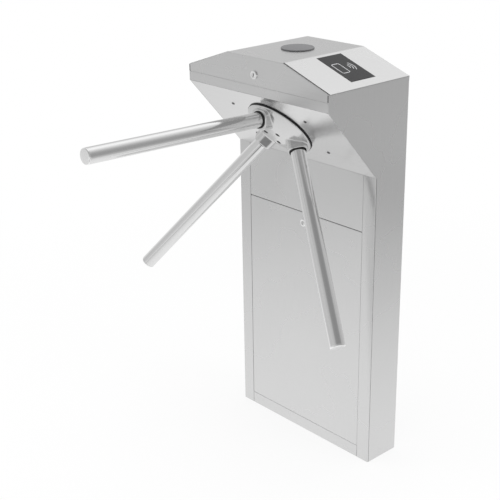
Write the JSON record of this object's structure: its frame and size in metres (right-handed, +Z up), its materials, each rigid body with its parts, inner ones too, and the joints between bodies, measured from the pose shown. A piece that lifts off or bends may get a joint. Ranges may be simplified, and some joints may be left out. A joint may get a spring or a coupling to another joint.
{
  "type": "tripod turnstile",
  "caption": "Upright steel access gate: a narrow cabinet with a sloped face, a three-armed chrome rotor that locks and turns, a hinged roof lid with reader windows and a front door.",
  "frame": {"origin": "on the floor, at the centre of the four anchor holes", "axes": "+Z up, +X along the cabinet's length, -Y towards the arms and the door"},
  "size_m": [0.6778, 0.7049, 0.983],
  "materials": {
    "satin_steel": "satin brushed",
    "zinc_steel": "zinc plated",
    "hinge_steel": "plain",
    "frame_alloy": "machined",
    "hub_polish": "chromed and polished",
    "arm_chrome": "polished",
    "bright_fixings": "bright",
    "black_fixings": "black oxide",
    "ground_steel": "ground",
    "coil_black": "black yoke and coil",
    "black_plastic": "matt",
    "seal_rubber": "matt",
    "smoked_window": "smoked, gloss",
    "grey_lens": "satin grey",
    "circuit_board": "coated board",
    "brass": "plain"
  },
  "bodies": {
    "cabinet": {"cabinet_shell": "satin_steel", "floor_plate": "zinc_steel", "frame_posts": "zinc_steel", "kick_strip": "satin_steel", "upper_front_panel": "satin_steel", "head_band": "satin_steel", "rotor_plate": "satin_steel", "frame_screws": "black_fixings", "mechanism_frame": "frame_alloy", "bearing_housing": "frame_alloy", "housing_bolts_set": "bright_fixings", "bearing_outer_rings": "ground_steel", "pawl_pins": "ground_steel", "solenoid_left": "coil_black", "solenoid_right": "coil_black", "damper_body": "coil_black", "encoder_sensor": "circuit_board", "hinge_fixed_leaf": "hinge_steel", "control_board": "circuit_board", "board_tray": "zinc_steel", "power_supply": "zinc_steel", "cable_grommet": "seal_rubber", "earth_stud": "brass"},
    "rotor": {"hub": "hub_polish", "hub_base_ring": "black_plastic", "hub_screws": "black_fixings", "arm_1": "arm_chrome", "arm_2": "arm_chrome", "arm_3": "arm_chrome", "arm_plugs": "zinc_steel", "arm_end_caps": "arm_chrome", "arm_seals": "seal_rubber", "arm_bolts": "bright_fixings", "main_shaft": "ground_steel", "bearing_inner_rings": "ground_steel", "bearing_balls": "ground_steel", "bearing_spacer": "zinc_steel", "locking_wheel": "zinc_steel", "drive_gear": "zinc_steel", "encoder_disc": "black_plastic", "shaft_nut": "bright_fixings"},
    "damper_pinion_body": {"damper_pinion": "zinc_steel"},
    "pawl_left_body": {"pawl_left": "ground_steel"},
    "pawl_right_body": {"pawl_right": "ground_steel"},
    "plunger_left_body": {"plunger_left": "bright_fixings"},
    "plunger_right_body": {"plunger_right": "bright_fixings"},
    "lid": {"top_lid": "satin_steel", "hinge_moving_leaf": "hinge_steel", "hinge_pin": "hinge_steel", "reader_window_left": "smoked_window", "reader_window_right": "smoked_window", "reader_housings": "black_plastic", "reader_boards": "circuit_board", "indicator_cap": "grey_lens", "indicator_nut": "black_plastic", "lid_lock_body": "bright_fixings"},
    "lid_lock": {"lid_lock_plug": "bright_fixings"},
    "door": {"door_panel": "satin_steel", "door_lock_body": "bright_fixings"},
    "door_lock": {"door_lock_plug": "bright_fixings"}
  },
  "joints": [
    {"name": "rotor_turn", "type": "hinge", "parent": "cabinet", "child": "rotor", "pos_m": [0, -0.126, 0.8095], "axis": [0, -0.7512, -0.66], "continuous": true},
    {"name": "damper_pinion_turn", "type": "hinge", "parent": "cabinet", "child": "damper_pinion_body", "pos_m": [-0.0608, -0.14917, 0.83587], "axis": [0, -0.7512, -0.66], "continuous": true},
    {"name": "pawl_left_swing", "type": "hinge", "parent": "cabinet", "child": "pawl_left_body", "pos_m": [-0.052, -0.09564, 0.77494], "axis": [0, 0.7512, 0.66], "range_deg": [0, 7.5]},
    {"name": "pawl_right_swing", "type": "hinge", "parent": "cabinet", "child": "pawl_right_body", "pos_m": [0.052, -0.09564, 0.77494], "axis": [0, -0.7512, -0.66], "range_deg": [0, 7.5]},
    {"name": "plunger_left_slide", "type": "slide", "parent": "cabinet", "child": "plunger_left_body", "axis": [-1, 0, 0], "range_m": [0, 0.0032]},
    {"name": "plunger_right_slide", "type": "slide", "parent": "cabinet", "child": "plunger_right_body", "axis": [1, 0, 0], "range_m": [0, 0.0032]},
    {"name": "lid_open", "type": "hinge", "parent": "cabinet", "child": "lid", "pos_m": [0, 0.0538, 0.9175], "axis": [-1, 0, 0], "range_deg": [0, 75]},
    {"name": "lid_lock_turn", "type": "hinge", "parent": "lid", "child": "lid_lock", "pos_m": [0, -0.202, 0.9415], "axis": [0, 1, 0], "range_deg": [0, 90]},
    {"name": "door_tilt", "type": "hinge", "parent": "cabinet", "child": "door", "pos_m": [0, -0.0454, 0.022], "axis": [1, 0, 0], "range_deg": [0, 5]},
    {"name": "door_lock_turn", "type": "hinge", "parent": "door", "child": "door_lock", "pos_m": [0, -0.05, 0.5626], "axis": [0, 1, 0], "range_deg": [0, 90]}
  ],
  "couplings": [
    {"joint": "damper_pinion_turn", "follows": "rotor_turn", "ratio": -2.5},
    {"joint": "plunger_left_slide", "follows": "pawl_left_swing", "m_per_rad": 0.024},
    {"joint": "plunger_right_slide", "follows": "pawl_right_swing", "m_per_rad": 0.024}
  ]
}
